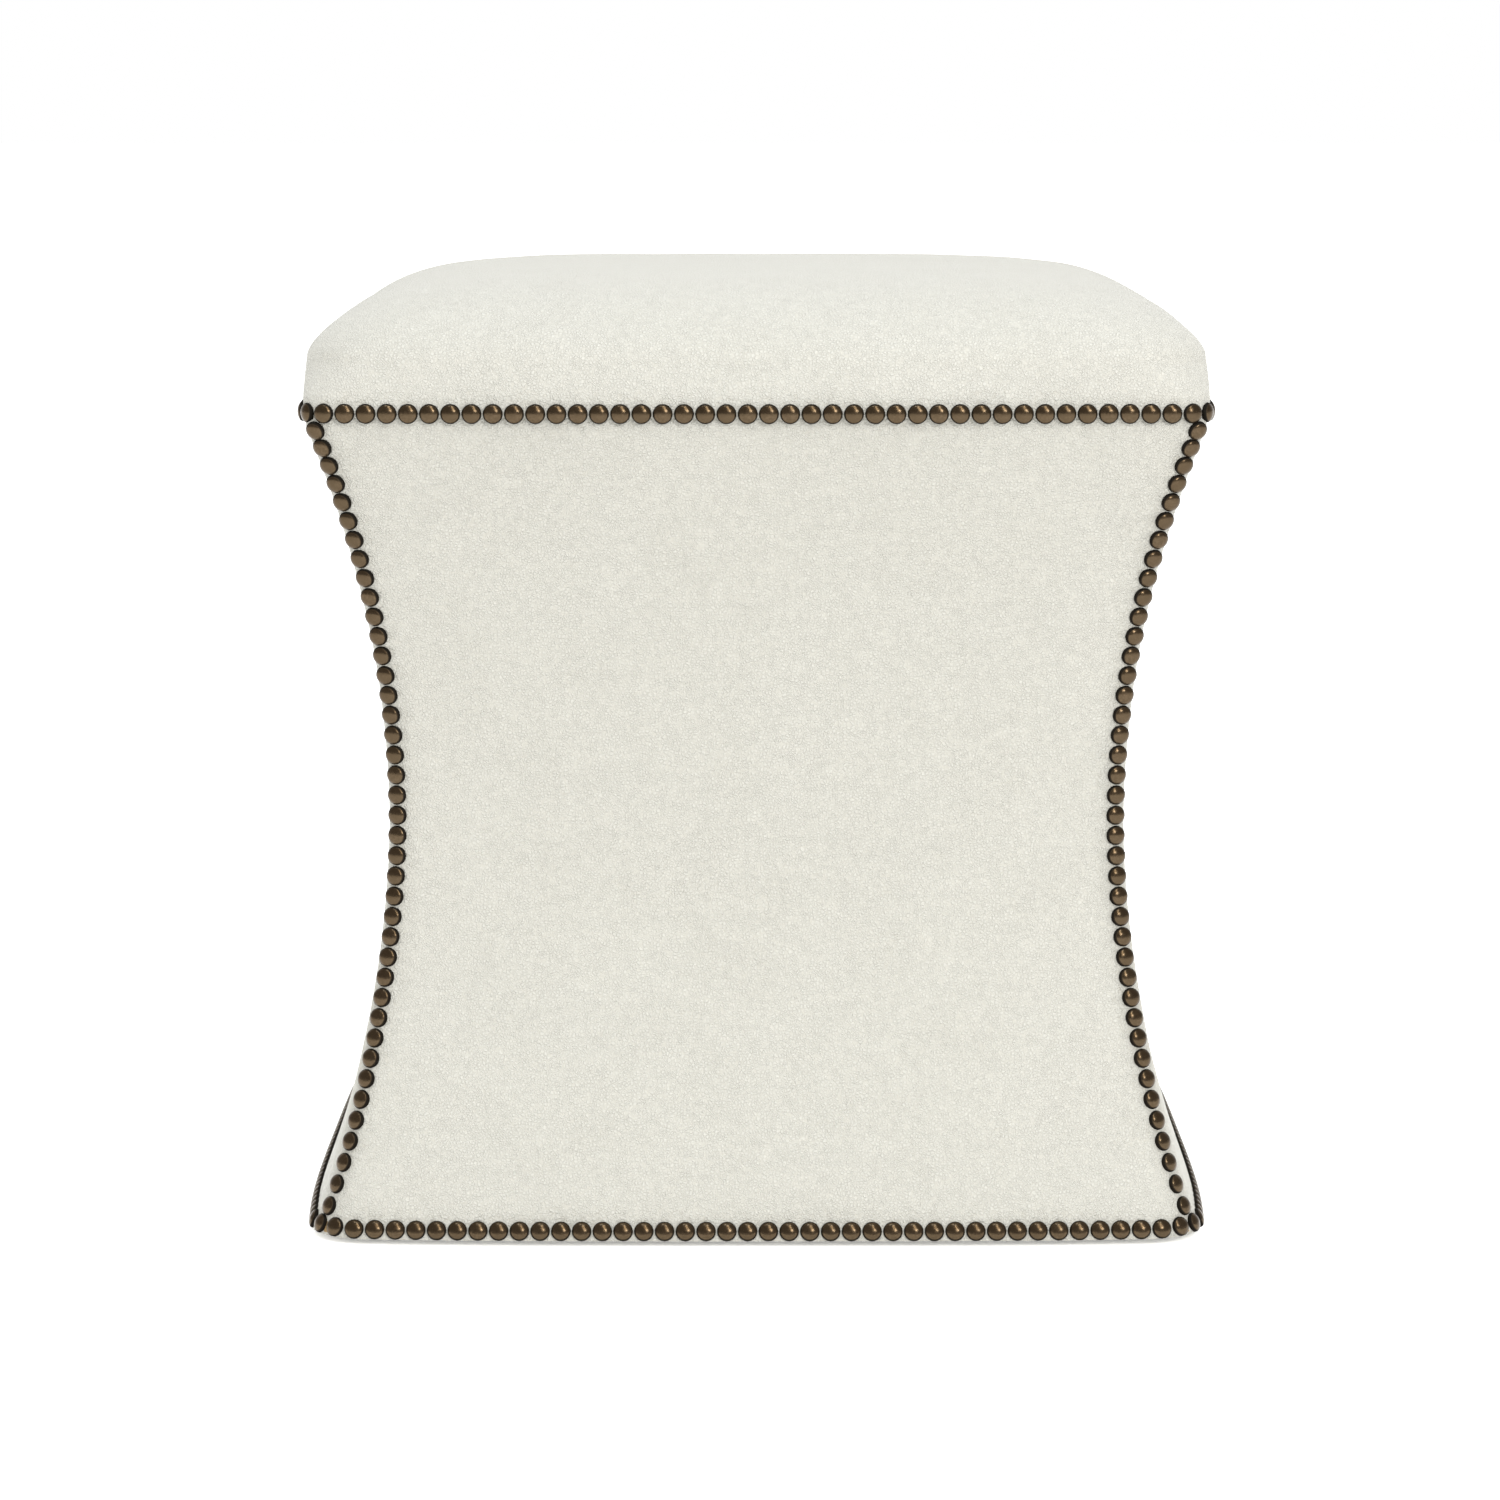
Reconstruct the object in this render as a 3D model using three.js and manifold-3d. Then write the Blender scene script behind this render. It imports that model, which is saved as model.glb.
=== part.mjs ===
// An upholstered footstool: a waisted square body under a crowned seat, covered in leather, with domed nail
// heads round the seat's hem, round the base and down each corner. The body hides a frame of sawn posts, rails
// and ribs with bent backing boards.
// Millimetres. +Z is up, the front faces -Y, and the origin is on the floor under the middle.
import * as THREE from "three";
import { mergeVertices, toCreasedNormals } from "three/addons/utils/BufferGeometryUtils.js";
import Module from "manifold-3d";

const wasm = await Module();
wasm.setup();

// Body
const standOff = 2.5; // the base edge is this far above the floor
const bodyHeight = 399; // from the base edge to the top row of nails
const waistHeight = 202.5; // from the base edge to the narrowest level
const topWidth = 432; // at the top row
const waistWidth = 358;
const baseWidth = 443;
const flarePower = 1.88; // of the sides' curve: 2 is a parabola, and less is straighter towards the ends
const cornerRadiusTop = 7;
const cornerRadiusWaist = 7;
const cornerRadiusBase = 16;

// Seat
const seatLean = 0.6; // the seat's wall leans in by this from the hem to the rounded edge
const seatHeight = 53.8; // from the top row of nails to the top of the rounded edge
const seatRound = 30; // height of the rounded edge
const seatRoundReach = 43.5; // and how far it reaches in
const seatRoundPower = 1.22; // 1 is an ellipse, and more is flatter
const seatCrown = 8.7;
const seatCrownPower = 6.2; // the more, the flatter the crown's middle
const seatCornerRadius = 34;

// Nails
const headDiameter = 9.5;
const headHeight = 4;
const headSpace = 0.5; // between neighbouring heads
const bottomRowHeight = 6; // from the base edge to the bottom row
const topRowShift = -3.7; // from the middle of the front to the nearest head
const bottomRowShift = 1.3;
const headSink = 1.2; // how deep a head is pressed into the leather

// Covers and padding
const leather = 1.8; // with its backing cloth
const hemDrop = 5; // the hem ends this far below the top row, and the body runs straight up behind it
const turnUnder = 15; // leather folded under the base
const foldRelief = 3; // the fold is cut back this far at a seam
const padding = 8;
const paddingJoint = 2; // between neighbouring paddings
const batting = 12;
const dustCloth = 0.8;

// Frame
const boardThickness = 4;
const postSize = 36;
const postNose = 6; // flat of a post beside its rounded corner, where a backing board ends
const railHeight = 45;
const railThickness = 22;
const ribWidth = 36;
const ribDepth = 30;
const blockHeight = 38;
const blockLeg = 55;
const deckThickness = 12;
const frameAboveRow = 6; // the top rails rise this far above the top row

// Glides
const glideRadius = 11;
const glideBevel = 1.2;
const shankRadius = 1.6;
const shankLength = 24;
const shankTip = 3;

// Fits and facets
const gap = 0.3; // between pieces that lie against each other
const overrun = 1; // how far a cutting tool passes the face that it cuts
const sharpRadius = 1; // the least corner radius of an inner layer
const sideFacets = 8; // up a side's curve
const cornerFacets = 3; // round a corner
const edgeFacets = 4; // over the seat's edge
const roundSides = 12;
const creaseAngle = THREE.MathUtils.degToRad(40);

// Levels and depths that follow from them. A depth is measured inwards from the body's or the seat's surface.
const QUARTER = Math.PI / 2;
const baseZ = standOff;
const bottomRowZ = baseZ + bottomRowHeight;
const waistZ = baseZ + waistHeight;
const topRowZ = baseZ + bodyHeight;
const hemEdgeZ = topRowZ - hemDrop;
const frameTopZ = topRowZ + frameAboveRow;
const frameBottomZ = baseZ + leather + gap;
const deckZ = frameTopZ + gap;
const foamZ = deckZ + deckThickness + gap;
const seatEdgeZ = topRowZ + seatHeight;
const paddingDepth = leather + gap;
const frameDepth = paddingDepth + padding + gap;
const railDepth = frameDepth + boardThickness + gap;
const battingDepth = leather + gap;
const foamDepth = battingDepth + batting + gap;
const headRadius = headDiameter / 2;

const LEATHER = new THREE.MeshStandardMaterial({ color: 0xe6e3d7, roughness: 0.55, metalness: 0 });
const BRONZE = new THREE.MeshStandardMaterial({ color: 0x65583f, roughness: 0.35, metalness: 0.9 });
const FOAM = new THREE.MeshStandardMaterial({ color: 0xe8d9a0, roughness: 0.95, metalness: 0 });
const WADDING = new THREE.MeshStandardMaterial({ color: 0xf2f2ee, roughness: 1, metalness: 0 });
const TIMBER = new THREE.MeshStandardMaterial({ color: 0xc79f68, roughness: 0.8, metalness: 0 });
const PLYWOOD = new THREE.MeshStandardMaterial({ color: 0xd6b585, roughness: 0.8, metalness: 0 });
const CLOTH = new THREE.MeshStandardMaterial({ color: 0x1d1d1f, roughness: 1, metalness: 0 });
const NYLON = new THREE.MeshStandardMaterial({ color: 0x2a2826, roughness: 0.5, metalness: 0 });

const footstool = new THREE.Group();

// Solids

// A manifold-3d solid of a closed geometry.
function solidOf(geometry) {
  const bare = geometry.clone();
  bare.deleteAttribute("normal");
  bare.deleteAttribute("uv");
  const merged = mergeVertices(bare);
  return new wasm.Manifold(
    new wasm.Mesh({
      numProp: 3,
      vertProperties: merged.attributes.position.array,
      triVerts: new Uint32Array(merged.index.array),
    }),
  );
}

// The geometry of a manifold-3d solid, with one group for each original that its faces come from.
function geometryOf(solid, originals = []) {
  const mesh = solid.getMesh();
  const geometry = new THREE.BufferGeometry();
  geometry.setAttribute("position", new THREE.BufferAttribute(mesh.vertProperties, mesh.numProp));
  geometry.setIndex(new THREE.BufferAttribute(mesh.triVerts, 1));
  mesh.runOriginalID.forEach((id, run) => {
    const start = mesh.runIndex[run];
    geometry.addGroup(start, mesh.runIndex[run + 1] - start, Math.max(originals.indexOf(id), 0));
  });
  return geometry;
}

function surface(points, triangles) {
  const geometry = new THREE.BufferGeometry();
  geometry.setAttribute("position", new THREE.Float32BufferAttribute(points.flat(), 3));
  geometry.setIndex(triangles.flat());
  return geometry;
}

// A solid through a chain of loops, which all run the same way. A loop of one point closes an end, and any other
// end is level and gets a flat lid.
function loft(loops) {
  const points = loops.flat();
  const triangles = [];
  let first = 0;
  loops.slice(1).forEach((loop, index) => {
    const before = loops[index];
    const next = first + before.length;
    const sides = Math.max(before.length, loop.length);
    for (let k = 0; k < sides; k++) {
      const after = (k + 1) % sides;
      const [a, b] = before.length > 1 ? [first + k, first + after] : [first, first];
      const [d, c] = loop.length > 1 ? [next + k, next + after] : [next, next];
      if (c !== d) triangles.push([a, d, c]);
      if (a !== b) triangles.push([a, c, b]);
    }
    first = next;
  });
  const flat = (loop) => loop.map(([x, y]) => new THREE.Vector2(x, y));
  if (loops[0].length > 1) {
    triangles.push(...THREE.ShapeUtils.triangulateShape(flat(loops[0]), []));
  }
  if (loops.at(-1).length > 1) {
    const faces = THREE.ShapeUtils.triangulateShape(flat(loops.at(-1)), []);
    triangles.push(...faces.map((face) => face.map((k) => first + k).reverse()));
  }
  return surface(points, triangles);
}

function addPiece(name, geometry, material) {
  const mesh = new THREE.Mesh(toCreasedNormals(geometry, creaseAngle), material);
  mesh.name = name;
  footstool.add(mesh);
}

// Plans: a level of the body or the seat is a square of a half width with a corner radius

// Where the sides' curve is cut into flat facets, from the hem down to the base.
const facetLevels = Array.from(
  { length: sideFacets + 1 },
  (_, k) => hemEdgeZ + ((baseZ - hemEdgeZ) * k) / sideFacets,
);

function planOnCurve(z) {
  const [endZ, endWidth, endRadius] =
    z > waistZ ? [topRowZ, topWidth, cornerRadiusTop] : [baseZ, baseWidth, cornerRadiusBase];
  const endShare = ((z - waistZ) / (endZ - waistZ)) ** flarePower;
  return {
    half: THREE.MathUtils.lerp(waistWidth, endWidth, endShare) / 2,
    radius: THREE.MathUtils.lerp(cornerRadiusWaist, endRadius, endShare),
  };
}

// The body at a height, on its facets.
function bodyPlan(z) {
  const level = Math.min(z, hemEdgeZ);
  const upper = facetLevels.findLastIndex((facet) => facet >= level);
  const lower = Math.min(upper + 1, sideFacets);
  const [high, low] = [facetLevels[upper], facetLevels[lower]];
  const share = high > low ? (level - low) / (high - low) : 0;
  const [above, below] = [planOnCurve(high), planOnCurve(low)];
  return {
    half: THREE.MathUtils.lerp(below.half, above.half, share),
    radius: THREE.MathUtils.lerp(below.radius, above.radius, share),
  };
}

function inset({ half, radius }, depth) {
  return { half: half - depth, radius: Math.max(radius - depth, sharpRadius) };
}

// The levels of a body piece: its own ends, and the facets between them, from the top down.
function levelsBetween(low, high) {
  return [high, ...facetLevels.filter((z) => z > low && z < high), low];
}

// Spots: a place on a plan is a corner, counted anticlockwise from the front right, a turn round it from 0 to a
// quarter, and a run along the side past the corner, or before it where negative

const middleOf = ({ half, radius }) => half - radius;
const sideAndCorner = (plan) => 2 * middleOf(plan) + plan.radius * QUARTER;
const perimeter = (plan) => 4 * sideAndCorner(plan);

function turned([x, y], corner) {
  const quarters = ((corner % 4) + 4) % 4;
  return [[x, y], [-y, x], [-x, -y], [y, -x]][quarters];
}

// The corners are cut into flat facets, and a spot between two of their edges lies on the facet.
function pointOn(plan, { corner, turn, run = 0 }) {
  const facet = QUARTER / cornerFacets;
  const before = Math.min(Math.floor(turn / facet), cornerFacets - 1) * facet;
  const share = (turn - before) / facet;
  const [sine, cosine] = [Math.sin, Math.cos].map((f) =>
    THREE.MathUtils.lerp(f(before), f(before + facet), share),
  );
  const centre = middleOf(plan);
  const x = centre + plan.radius * sine + run * Math.cos(turn);
  const y = -centre - plan.radius * cosine + run * Math.sin(turn);
  return turned([x, y], corner);
}

// Distances run anticlockwise round a plan from the middle of the front.
function distanceOf(plan, { corner, turn, run = 0 }) {
  return middleOf(plan) + corner * sideAndCorner(plan) + turn * plan.radius + run;
}

function spotAt(plan, distance) {
  const straight = 2 * middleOf(plan);
  const past = distance - straight / 2;
  const corner = Math.floor(past / sideAndCorner(plan));
  const rest = past - corner * sideAndCorner(plan);
  const run = rest - plan.radius * QUARTER;
  if (run <= 0) return { corner, turn: rest / plan.radius, run: 0 };
  if (run <= straight / 2) return { corner, turn: QUARTER, run };
  return { corner: corner + 1, turn: 0, run: run - straight };
}

const shifted = (spot, by) => ({ ...spot, run: (spot.run ?? 0) + by });

// The spots of a stretch round the body, with each facet of the corners between its ends.
function stretch(start, end) {
  const plan = bodyPlan(bottomRowZ);
  const [from, to] = [distanceOf(plan, start), distanceOf(plan, end)];
  const between = [];
  for (let corner = start.corner - 1; corner <= end.corner + 1; corner++) {
    for (let k = 0; k <= cornerFacets; k++) {
      const spot = { corner, turn: (QUARTER * k) / cornerFacets };
      const at = distanceOf(plan, spot);
      if (at > from && at < to) between.push(spot);
    }
  }
  return [start, ...between, end];
}

// A layer of the body between two spots. Each of its sections, from the top down, is an outer depth, an inner
// depth, a level, and how far the inner line is cut back at both ends.
function bodyLayer(start, end, sections) {
  const spots = stretch(start, end);
  const loops = sections.map(([outer, inner, z, cutBack = 0]) => {
    const line = (depth, by) =>
      [shifted(start, by), ...spots.slice(1, -1), shifted(end, -by)].map((spot) => [
        ...pointOn(inset(bodyPlan(z), depth), spot),
        z,
      ]);
    return [...line(outer, 0), ...line(inner, cutBack).reverse()];
  });
  return loft(loops);
}

// Nails

const rowSpacing = (plan) => perimeter(plan) / headCount(plan);
const headCount = (plan) => Math.round(perimeter(plan) / (headDiameter + headSpace));

// A head's seat on the body or the hem: its middle, the way round and up the surface, and the way out.
const slopeStep = 1; // the slope is taken over this height

function headSeat(planAt, spot, z) {
  const [x, y] = pointOn(planAt(z), spot);
  const [lowX, lowY] = pointOn(planAt(z - slopeStep), spot);
  const [acrossX, acrossY] = turned([Math.cos(spot.turn), Math.sin(spot.turn)], spot.corner);
  const around = new THREE.Vector3(acrossX, acrossY, 0);
  const slope = new THREE.Vector3(x - lowX, y - lowY, slopeStep);
  const up = slope.addScaledVector(around, -slope.dot(around)).normalize();
  const out = new THREE.Vector3().crossVectors(around, up).normalize();
  return { middle: new THREE.Vector3(x, y, z), around, up, out };
}

// The head nearest to a distance has this number. Numbers run on past the back without starting again.
const numberAt = (plan, shift, distance) => (distance - shift) / rowSpacing(plan);

// The seats of a row, between two distances round the plan.
function rowSeats(planAt, z, shift, from, to) {
  const plan = planAt(z);
  const seats = [];
  const last = numberAt(plan, shift, to);
  for (let k = Math.ceil(numberAt(plan, shift, from)); k < last; k++) {
    const spot = spotAt(plan, shift + k * rowSpacing(plan));
    seats.push(headSeat(planAt, spot, z));
  }
  return seats;
}

// A corner's column of heads stands on the round's first facet from the front or the back.
function columnSpot(corner) {
  const turn = QUARTER / cornerFacets / 2;
  return { corner, turn: corner % 2 === 0 ? turn : QUARTER - turn };
}

// The seats of a column, evenly spaced along the sloping corner between the two rows.
function columnSeats(corner) {
  const spot = columnSpot(corner);
  const top = topRowZ - headDiameter - headSpace;
  const bottom = bottomRowZ + headDiameter + headSpace;
  const levels = levelsBetween(bottom, top);
  const line = new THREE.CurvePath();
  levels.slice(1).forEach((z, index) => {
    const ends = [levels[index], z].map(
      (level) => new THREE.Vector3(...pointOn(bodyPlan(level), spot), level),
    );
    line.add(new THREE.LineCurve3(...ends));
  });
  const steps = Math.round(line.getLength() / (headDiameter + headSpace));
  return Array.from({ length: steps + 1 }, (_, k) =>
    headSeat(bodyPlan, spot, line.getPoint(k / steps).z),
  );
}

// A domed head on its seat. Six faces stand on the rim, with one corner up the surface and one down, and close
// on a small three-cornered top.
const rimSides = 6;
const topSides = 3;
const topShare = 0.62;

function headOn(seat) {
  const ring = (sides, radius, height, firstAngle) =>
    Array.from({ length: sides }, (_, k) => {
      const angle = firstAngle + (k * 2 * Math.PI) / sides;
      return seat.middle
        .clone()
        .addScaledVector(seat.out, height)
        .addScaledVector(seat.around, radius * Math.cos(angle))
        .addScaledVector(seat.up, radius * Math.sin(angle))
        .toArray();
    });
  const rim = ring(rimSides, headRadius, -headSink, Math.PI / rimSides);
  const top = ring(topSides, headRadius * topShare, headHeight, (2 * Math.PI) / rimSides);
  const triangles = [[rimSides, rimSides + 1, rimSides + 2]];
  for (let k = 1; k < rimSides - 1; k++) triangles.push([0, k + 1, k]);
  for (let k = 0; k < topSides; k++) {
    const [a, b, c] = [2 * k, 2 * k + 1, (2 * k + 2) % rimSides];
    const [above, next] = [rimSides + k, rimSides + ((k + 1) % topSides)];
    triangles.push([a, b, above], [b, c, next], [b, next, above]);
  }
  return surface([...rim, ...top], triangles);
}

// Adds a leather piece with the heads that pin it.
function addNailedPiece(name, geometry, seats) {
  const cover = solidOf(geometry).asOriginal();
  const heads = wasm.Manifold.union(seats.map((seat) => solidOf(headOn(seat)))).asOriginal();
  const originals = [cover.originalID(), heads.originalID()];
  addPiece(name, geometryOf(cover.add(heads), originals), [LEATHER, BRONZE]);
}

// Body

const SIDES = ["front", "right", "back", "left"]; // side k lies between corners k - 1 and k
const CORNERS = ["front_right", "back_right", "back_left", "front_left"];

// Two panels meet on the flat of a side, just past the corner's round and midway between two heads of the bottom
// row. The front and back panels wrap the corners.
function seamSpot(corner) {
  const plan = bodyPlan(bottomRowZ);
  const onward = corner % 2 === 0;
  const clear = foldRelief + gap;
  const roundEnd = distanceOf(plan, { corner, turn: onward ? QUARTER : 0 });
  const number = numberAt(plan, bottomRowShift, onward ? roundEnd + clear : roundEnd - clear);
  const between = onward ? Math.ceil(number - 0.5) : Math.floor(number - 0.5);
  return spotAt(plan, bottomRowShift + (between + 0.5) * rowSpacing(plan));
}

function addPanel(side) {
  const [start, end] = [seamSpot(side - 1), seamSpot(side)];
  const underZ = baseZ + leather;
  const sections = [
    ...levelsBetween(underZ, frameTopZ).map((z) => [0, leather, z]),
    [0, turnUnder, underZ, foldRelief],
    [0, turnUnder, baseZ, foldRelief],
  ];
  const geometry = bodyLayer(shifted(start, gap / 2), shifted(end, -gap / 2), sections);
  const plan = bodyPlan(bottomRowZ);
  const [from, to] = [distanceOf(plan, start), distanceOf(plan, end)];
  const seats = rowSeats(bodyPlan, bottomRowZ, bottomRowShift, from, to);
  if (side % 2 === 0) seats.push(...columnSeats(side - 1), ...columnSeats(side));
  addNailedPiece("panel_" + SIDES[side], geometry, seats);
}

// The front and back padding wraps the corners' facets as far as the panels do, and the sides' lies between.
function addPadding(side) {
  const facet = QUARTER / cornerFacets;
  const wrap = Math.ceil(QUARTER / 2 / facet) * facet;
  const joint = (corner) => ({ corner, turn: corner % 2 === 0 ? wrap : QUARTER - wrap });
  const levels = levelsBetween(frameBottomZ, frameTopZ);
  const sections = levels.map((z) => [paddingDepth, paddingDepth + padding, z]);
  const [start, end] = [shifted(joint(side - 1), paddingJoint / 2), shifted(joint(side), -paddingJoint / 2)];
  addPiece("padding_" + SIDES[side], bodyLayer(start, end, sections), FOAM);
}

// An upright board behind a side's surface: two depths, two levels, and half its width at each level.
function addUpright(name, side, [outer, inner], [low, high], halfAt, material) {
  const loops = levelsBetween(low, high).map((z) => {
    const { half } = bodyPlan(z);
    const reach = halfAt(z);
    return [
      [-reach, outer - half],
      [reach, outer - half],
      [reach, inner - half],
      [-reach, inner - half],
    ].map((corner) => [...turned(corner, side), z]);
  });
  addPiece(name + "_" + SIDES[side], loft(loops), material);
}

// Half the distance between two posts' noses, and between their inner faces.
function betweenNoses(z) {
  return middleOf(inset(bodyPlan(z), frameDepth)) - postNose - gap;
}
function betweenPosts(z) {
  return bodyPlan(z).half - frameDepth - postSize - gap;
}

function addFrameSide(side) {
  const lowRailTop = frameBottomZ + railHeight;
  const highRailBottom = frameTopZ - railHeight;
  const rail = [railDepth, railDepth + railThickness];
  const board = [frameDepth, frameDepth + boardThickness];
  const rib = [railDepth, railDepth + ribDepth];
  addUpright("backing_board", side, board, [frameBottomZ, frameTopZ], betweenNoses, PLYWOOD);
  addUpright("bottom_rail", side, rail, [frameBottomZ, lowRailTop], betweenPosts, TIMBER);
  addUpright("top_rail", side, rail, [highRailBottom, frameTopZ], betweenPosts, TIMBER);
  addUpright("rib", side, rib, [lowRailTop + gap, highRailBottom - gap], () => ribWidth / 2, TIMBER);
}

// Where a glide's shank stands, measured along both axes: in the middle of the post, or clear of the fold.
function glidePlace() {
  const depth = Math.max(frameDepth + postSize / 2, turnUnder + gap + glideRadius);
  return bodyPlan(frameBottomZ).half - depth;
}

function shankTool() {
  const depth = standOff + shankLength + gap;
  const tool = new THREE.CylinderGeometry(shankRadius + gap, shankRadius + gap, depth, roundSides);
  return tool.rotateX(QUARTER).translate(glidePlace(), -glidePlace(), depth / 2);
}

// A post follows the body's corner, rounded outside, with a rebate on each side for the backing boards.
function addPost(corner) {
  const loops = levelsBetween(frameBottomZ, frameTopZ).map((z) => {
    const plan = inset(bodyPlan(z), frameDepth);
    const face = bodyPlan(z).half - railDepth;
    const back = plan.half - postSize;
    const nose = middleOf(plan) - postNose;
    const round = Array.from({ length: cornerFacets + 1 }, (_, k) =>
      pointOn(plan, { corner: 0, turn: (QUARTER * k) / cornerFacets }),
    );
    return [
      [nose, -plan.half],
      ...round,
      [plan.half, -nose],
      [face, -nose],
      [face, -back],
      [back, -back],
      [back, -face],
      [nose, -face],
    ].map(([x, y]) => [x, y, z]);
  });
  const post = geometryOf(solidOf(loft(loops)).subtract(solidOf(shankTool())));
  addPiece("corner_post_" + CORNERS[corner], post.rotateZ(corner * QUARTER), TIMBER);
}

// A block glued behind a post, against both rails.
function addCornerBlock(name, corner, low) {
  const loops = levelsBetween(low, low + blockHeight).map((z) => {
    const rail = bodyPlan(z).half - railDepth - railThickness - gap;
    const post = betweenPosts(z);
    return [
      [post - blockLeg, -rail],
      [post, -rail],
      [post, -post],
      [rail, -post],
      [rail, blockLeg - post],
    ].map((point) => [...turned(point, corner), z]);
  });
  addPiece(name + "_" + CORNERS[corner], loft(loops), TIMBER);
}

// Seat

const bodyTop = bodyPlan(frameTopZ);
const hemPlan = { half: bodyTop.half + gap + leather, radius: bodyTop.radius + gap + leather };
const seatHalf = hemPlan.half - seatLean;
const edgeRound = Math.min(seatRound, seatEdgeZ - foamZ);
const seatWallZ = seatEdgeZ - edgeRound; // the top of the wall
const crownShares = [0.55, 0.85];
const sideShares = [0.2, 0.5, 0.8]; // points between two corners
const tightenShare = 0.5; // how far the corners tighten as the edge rounds in, against the round's reach

// The seat's plan where its surface leans at an angle: upright on the wall, and flat at a quarter.
function seatPlan(angle, depth) {
  const upright = Math.cos(angle) ** seatRoundPower;
  const reach = seatRoundReach * (1 - upright);
  const radius = seatCornerRadius - reach * tightenShare - depth * upright;
  return { half: seatHalf - reach - depth * upright, radius: Math.max(radius, sharpRadius) };
}

// The wall runs straight from the rounded edge down to the hem.
function wallPlan(z, depth) {
  const share = (z - deckZ) / (seatWallZ - deckZ);
  const [low, high] = [inset(hemPlan, depth), seatPlan(0, depth)];
  return {
    half: THREE.MathUtils.lerp(low.half, high.half, share),
    radius: Math.max(THREE.MathUtils.lerp(low.radius, high.radius, share), sharpRadius),
  };
}

function planLoop(plan) {
  return CORNERS.flatMap((_, corner) => {
    const spots = Array.from({ length: cornerFacets + 1 }, (_, k) => ({
      corner,
      turn: (QUARTER * k) / cornerFacets,
    }));
    const runs = sideShares.map((share) => ({ corner, turn: QUARTER, run: 2 * middleOf(plan) * share }));
    return [...spots, ...runs].map((spot) => pointOn(plan, spot));
  });
}

// The seat's form, drawn in by a depth: loops from the middle of the crown down to a level.
function seatLoops(depth, bottom) {
  const round = Math.max(edgeRound - depth, sharpRadius);
  const flat = seatPlan(QUARTER, depth);
  const crown = crownShares.map((share) =>
    planLoop({ half: flat.half * share, radius: flat.radius * share }).map(([x, y]) => {
      const fall = (v) => 1 - Math.abs(v / flat.half) ** seatCrownPower;
      return [x, y, seatWallZ + round + seatCrown * fall(x) * fall(y)];
    }),
  );
  const rounded = Array.from({ length: edgeFacets }, (_, k) => {
    const angle = QUARTER * (1 - k / edgeFacets);
    const z = seatWallZ + round * Math.sin(angle) ** seatRoundPower;
    return planLoop(seatPlan(angle, depth)).map(([x, y]) => [x, y, z]);
  });
  const wall = [seatWallZ, bottom].map((z) => planLoop(wallPlan(z, depth)).map(([x, y]) => [x, y, z]));
  return [[[0, 0, seatWallZ + round + seatCrown]], ...crown, ...rounded, ...wall];
}

// A shell between two forms of the seat. The inner one runs on below, so that the shell is open there.
function seatShell(outer, inner) {
  return geometryOf(solidOf(loft(outer)).subtract(solidOf(loft(inner))));
}

function addSeat() {
  const hem = (depth, z) => planLoop(inset(hemPlan, depth)).map(([x, y]) => [x, y, z]);
  const coverOuter = [...seatLoops(0, deckZ), hem(0, hemEdgeZ)];
  const coverInner = [...seatLoops(leather, deckZ), hem(leather, hemEdgeZ - overrun)];
  const hemAt = () => hemPlan;
  const around = perimeter(hemPlan);
  const seats = rowSeats(hemAt, topRowZ, topRowShift, topRowShift, topRowShift + around);
  addNailedPiece("seat_cover", seatShell(coverOuter, coverInner), seats);
  const wadding = seatShell(
    seatLoops(battingDepth, deckZ),
    seatLoops(battingDepth + batting, deckZ - overrun),
  );
  addPiece("seat_batting", wadding, WADDING);
  addPiece("seat_foam", loft(seatLoops(foamDepth, foamZ)), FOAM);
}

function addSlab(name, plan, z, thickness, material, holes = []) {
  const shape = new THREE.Shape(planLoop(plan).map(([x, y]) => new THREE.Vector2(x, y)));
  shape.holes.push(...holes);
  const slab = new THREE.ExtrudeGeometry(shape, {
    depth: thickness,
    bevelEnabled: false,
    curveSegments: cornerFacets,
  });
  addPiece(name, slab.translate(0, 0, z), material);
}

// Base

function addDustCover() {
  const holes = CORNERS.map((_, corner) => {
    const [x, y] = turned([glidePlace(), -glidePlace()], corner);
    return new THREE.Path().absarc(x, y, shankRadius + gap, 0, 2 * Math.PI, true);
  });
  const plan = inset(bodyPlan(baseZ + leather), turnUnder + gap);
  addSlab("dust_cover", plan, frameBottomZ - gap - dustCloth, dustCloth, CLOTH, holes);
}

// A nail-on glide: a round foot and the shank in its post.
function addGlide(corner) {
  const footTop = frameBottomZ - gap - dustCloth - gap;
  const shankTop = standOff + shankLength;
  const profile = [
    [0, 0],
    [glideRadius - glideBevel, 0],
    [glideRadius, glideBevel],
    [glideRadius, footTop],
    [shankRadius, footTop],
    [shankRadius, shankTop - shankTip],
    [0, shankTop],
  ].map(([radius, z]) => new THREE.Vector2(radius, z));
  const glide = new THREE.LatheGeometry(profile, roundSides).rotateX(QUARTER);
  const [x, y] = turned([glidePlace(), -glidePlace()], corner);
  addPiece("glide_" + CORNERS[corner], glide.translate(x, y, 0), NYLON);
}

SIDES.forEach((_, side) => {
  addPanel(side);
  addPadding(side);
  addFrameSide(side);
});
CORNERS.forEach((_, corner) => {
  addPost(corner);
  addCornerBlock("bottom_corner_block", corner, frameBottomZ);
  addCornerBlock("top_corner_block", corner, frameTopZ - blockHeight);
  addGlide(corner);
});
addSeat();
addSlab("seat_deck", wallPlan(foamZ, foamDepth), deckZ, deckThickness, PLYWOOD);
addDustCover();

export default footstool;
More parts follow.
